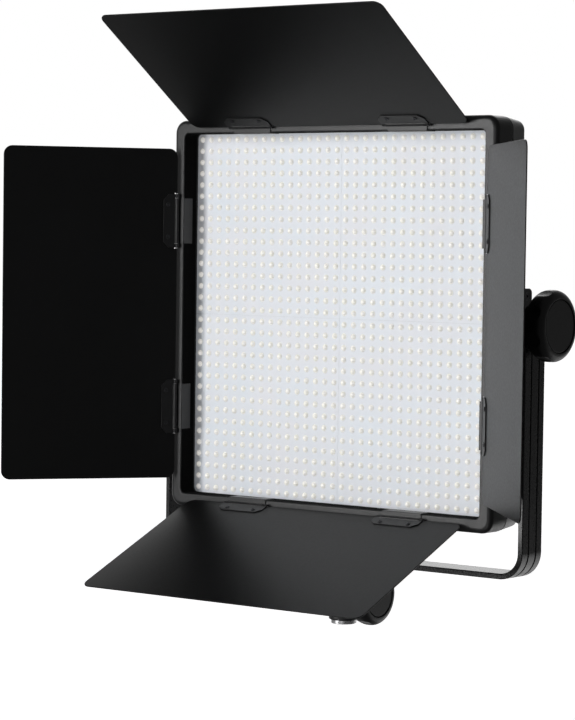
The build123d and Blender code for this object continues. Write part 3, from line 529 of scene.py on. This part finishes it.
# ---------------------------------------------------------------- lamps

def make_piece(name, points, faces, material, body, smooth=False):
    """A mesh piece that rides on a body."""
    data = bpy.data.meshes.new(name)
    data.from_pydata(points, [], faces)
    data.polygons.foreach_set("use_smooth", [smooth] * len(faces))
    data.materials.append(material)
    data.update()
    piece = bpy.data.objects.new(name, data)
    bpy.context.scene.collection.objects.link(piece)
    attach(piece, body)
    return piece

def turned_points(profile, steps):
    """Rings of points for a profile of (radius, height) turned about the height axis."""
    angles = [2 * math.pi * k / steps for k in range(steps)]
    return [[(r * math.cos(a), r * math.sin(a), h) for a in angles] for r, h in profile]


def lamp_profile():
    """A lamp's outline from its rim to its crown: a low collar and a round dome."""
    shoulder = LAMP_RADIUS - 0.35 * MM
    crown = (LENS_HIGH.y - LENS_LOW.y) - 0.15 * MM
    outline = [(LAMP_RADIUS, 0), (LAMP_RADIUS, 0.75 * LAMP_COLLAR),
               (LAMP_RADIUS - 0.15 * MM, LAMP_COLLAR), (shoulder, LAMP_COLLAR)]
    for step in range(1, 5):
        angle = step * math.pi / 10
        height = LAMP_COLLAR + (crown - LAMP_COLLAR) * math.sin(angle)
        outline.append((shoulder * math.cos(angle), height))
    return outline, crown


def add_lamp(points, faces, place, rings, crown):
    """Adds one lamp at (across, up), a little out of true as hand-fed lamps are."""
    x, z = place
    lean_x, lean_z = random.gauss(0, LAMP_LEAN), random.gauss(0, LAMP_LEAN)
    start = len(points)
    for ring in rings:
        points += [(x + px + lean_x * h, LENS_HIGH.y - h, z + pz + lean_z * h) for px, pz, h in ring]
    points.append((x + lean_x * crown, LENS_HIGH.y - crown, z + lean_z * crown))
    for level in range(len(rings) - 1):
        low, high = start + level * LAMP_SIDES, start + (level + 1) * LAMP_SIDES
        faces += [(low + k, high + k, high + (k + 1) % LAMP_SIDES, low + (k + 1) % LAMP_SIDES)
                  for k in range(LAMP_SIDES)]
    last, tip = start + (len(rings) - 1) * LAMP_SIDES, len(points) - 1
    faces += [(last + k, tip, last + (k + 1) % LAMP_SIDES) for k in range(LAMP_SIDES)]


def make_lamp_tile(name, columns, rows, material):
    """One board's worth of lamps."""
    outline, crown = lamp_profile()
    rings = turned_points(outline, LAMP_SIDES)
    points, faces = [], []
    for column in columns:
        for row in rows:
            x = (column - (LAMPS_PER_SIDE - 1) / 2) * LAMP_PITCH
            z = HEAD_CENTRE.z + (row - (LAMPS_PER_SIDE - 1) / 2) * LAMP_PITCH
            add_lamp(points, faces, (x, z), rings, crown)
    tile = make_piece(name, points, faces, material, "head", smooth=True)
    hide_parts("led_lens_sheets")


def make_lamps():
    """Four tiles of lamps, one for each board."""
    half = LAMPS_PER_SIDE // 2
    material = lamp_lens()
    spans = {"low": range(half), "high": range(half, LAMPS_PER_SIDE)}
    for across, columns in spans.items():
        for up, rows in spans.items():
            make_lamp_tile(f"lamps_{across}_x_{up}_z", columns, rows, material)


# ---------------------------------------------------------------- painted shade on the walls of the light opening

def rounded_square(half, radius, steps=6):
    """Points round a square with rounded corners, as (across, up) from its middle."""
    loop = []
    for quarter in range(4):
        centre = quarter * math.pi / 2 + math.pi / 4
        corner = (math.copysign(half - radius, math.cos(centre)),
                  math.copysign(half - radius, math.sin(centre)))
        for step in range(steps + 1):
            angle = (quarter + step / steps) * math.pi / 2
            loop.append((corner[0] + radius * math.cos(angle), corner[1] + radius * math.sin(angle)))
    return loop


def make_painted_shade_sheet():
    """A thin, very dark matte sheet round the walls of the light opening: painted shade for the recess."""
    front, back = BEZEL_LOW.y + 1.2 * MM, LENS_LOW.y - 0.2 * MM
    wall = rounded_square(OPENING_HALF - 0.05 * MM, OPENING_RADIUS)
    face = rounded_square(OPENING_HALF - SHADE_SHEET_THICK, OPENING_RADIUS - SHADE_SHEET_THICK)
    rings = [(wall, front), (face, front), (face, back), (wall, back)]
    points = [(x, y, HEAD_CENTRE.z + z) for loop, y in rings for x, z in loop]
    count = len(wall)
    faces = []
    for ring in range(len(rings)):
        here, there = ring * count, (ring + 1) % len(rings) * count
        faces += [(here + k, here + (k + 1) % count, there + (k + 1) % count, there + k)
                  for k in range(count)]
    # painted shade: darker and duller than the bezel, so the recess walls look shaded
    shade_material = painted_shade_felt("painted_shade_black", (0.0035, 0.0035, 0.0036))
    make_piece("painted_shade_sheet", points, faces, shade_material, "head")


# ---------------------------------------------------------------- print on the control panel

def make_marks(name, outlines, y, thickness, body):
    """Marks of white ink on a face that looks to +Y, one for each outline of (x, z) points."""
    points, faces = [], []
    for outline in outlines:
        start, count = len(points), len(outline)
        points += [(x, y, z) for x, z in outline]
        points += [(x, y + thickness, z) for x, z in outline]
        faces.append(tuple(range(start, start + count)))
        faces.append(tuple(range(start + 2 * count - 1, start + count - 1, -1)))
        for k in range(count):
            near, far = start + k, start + (k + 1) % count
            faces.append((far, near, near + count, far + count))
    make_piece(name, points, faces, ink("ink_" + name), body)


def ink(name):
    """White screen print, a little worn and uneven."""
    recipe = Recipe(name, (0.7, 0.7, 0.7), 0.5)
    wear = recipe.noise(900, detail=4)
    recipe.colour(recipe.spread(wear, 0.55, 0.75), (0.72, 0.72, 0.72), (0.4, 0.4, 0.4))
    recipe.gloss(wear, 0.3, 0.7, 0.45, 0.6)
    recipe.relief(wear, 0.01 * MM)
    return recipe.material


def radial_bar(middle, angle, near, far, width):
    """A bar pointing away from the middle, at an angle clockwise from straight up, seen from behind."""
    along = (-math.sin(angle), math.cos(angle))
    aside = (math.cos(angle), math.sin(angle))
    corners = [(near, -width / 2), (far, -width / 2), (far, width / 2), (near, width / 2)]
    return [(middle.x + a * along[0] + b * aside[0], middle.z + a * along[1] + b * aside[1])
            for a, b in corners]


def dial_scale(dial):
    """The ticks round a dial, with a longer one at each end and at the top."""
    ticks = []
    for step in range(TICKS):
        angle = math.radians(TICK_DEGREES * (step - TICKS // 2))
        far = LONG_TICK_FAR if step % (TICKS // 2) == 0 else TICK_FAR
        ticks.append(radial_bar(middle_of(dial), angle, TICK_NEAR, far, TICK_WIDE))
    return ticks


def button_dot(button):
    """A small round dot over a button."""
    middle = middle_of(button)
    angles = [2 * math.pi * k / DOT_SIDES for k in range(DOT_SIDES)]
    height = middle.z + DOT_RISE
    return [(middle.x + DOT_RADIUS * math.cos(a), height + DOT_RADIUS * math.sin(a)) for a in angles]


def make_panel_print():
    """Scales round the two dials, a dot over each button, and the dials' pointers."""
    marks = []
    for dial in DIALS:
        marks += dial_scale(dial)
        pointer = radial_bar(middle_of(dial), 0, POINTER_NEAR, POINTER_FAR, POINTER_WIDE)
        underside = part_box(dial)[1].y - POINTER_SUNK
        make_marks(dial + "_pointer", [pointer], underside, POINTER_THICK, dial)
    marks += [button_dot(button) for button in BUTTONS]
    make_marks("panel_print", marks, PANEL_FACE, INK_THICK, "head")


# ---------------------------------------------------------------- the scene

bpy.context.scene.view_settings.view_transform = "Standard"
make_camera()
make_world()
make_floor()
make_softbox("key", (-1.0, -2.0, 0.6), (0.6, 1.8), 31)
make_softbox("left_fill", (-2.2, -1.5, 0.6), (1.0, 1.6), 5)
make_softbox("front_fill", (0.8, -2.6, 0.4), (1.2, 1.0), 7)
make_softbox("low_fill", (0.3, -1.9, -1.1), (1.6, 1.0), 6)
make_softbox("back", (-1.6, 2.2, 1.5), (2.0, 1.6), 14)
make_softbox("low_back", (0.8, 2.2, -1.0), (2.0, 1.2), 10)
dress_coated_parts()
dress_metal_parts()
dress_electrics()
make_painted_shade_sheet()
make_panel_print()
make_lamps()

bpy.context.view_layer.update()
